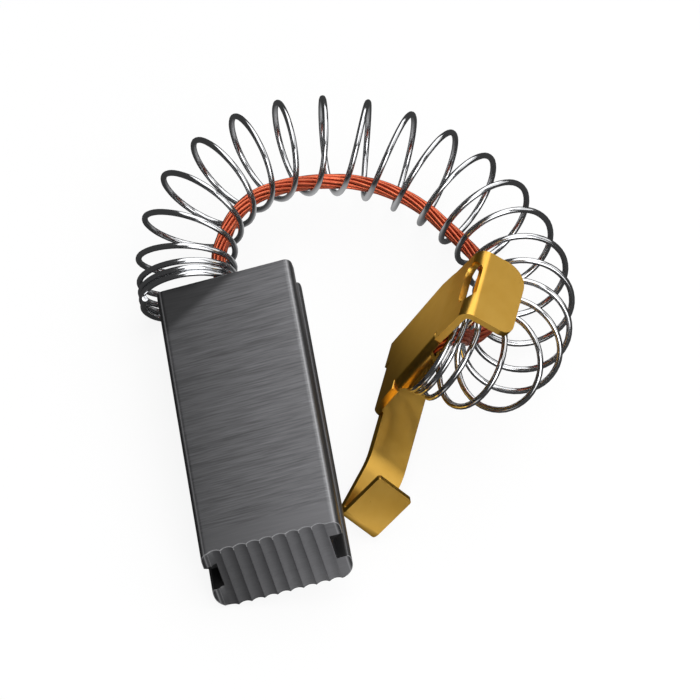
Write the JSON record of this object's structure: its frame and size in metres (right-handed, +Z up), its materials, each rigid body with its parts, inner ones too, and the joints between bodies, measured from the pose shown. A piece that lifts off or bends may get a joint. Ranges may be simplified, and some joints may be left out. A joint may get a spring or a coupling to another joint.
{
  "type": "carbon brush",
  "caption": "Grooved carbon brush block with a coil spring curled round a stranded shunt lead, and a folded brass terminal clip with a leaf arm.",
  "frame": {"origin": "on the table under the middle of the box of the whole brush as it lies", "axes": "+Z up, +Y from the wear face along the carbon block towards its spring end, +X across the block's width towards the terminal clip"},
  "size_m": [0.0392, 0.0508, 0.0197],
  "materials": {
    "carbon": "pressed and baked carbon, ground with fine cross lines",
    "spring_steel": "bright drawn stainless spring wire",
    "copper_strand": "bare stranded copper",
    "copper_powder": "tamped copper powder",
    "brass_sheet": "rolled brass sheet, stamped and folded"
  },
  "bodies": {
    "root": {"carbon_block": "carbon", "spring": "spring_steel", "shunt": "copper_strand", "tamped_plug": "copper_powder", "terminal_clip": "brass_sheet"}
  },
  "joints": []
}
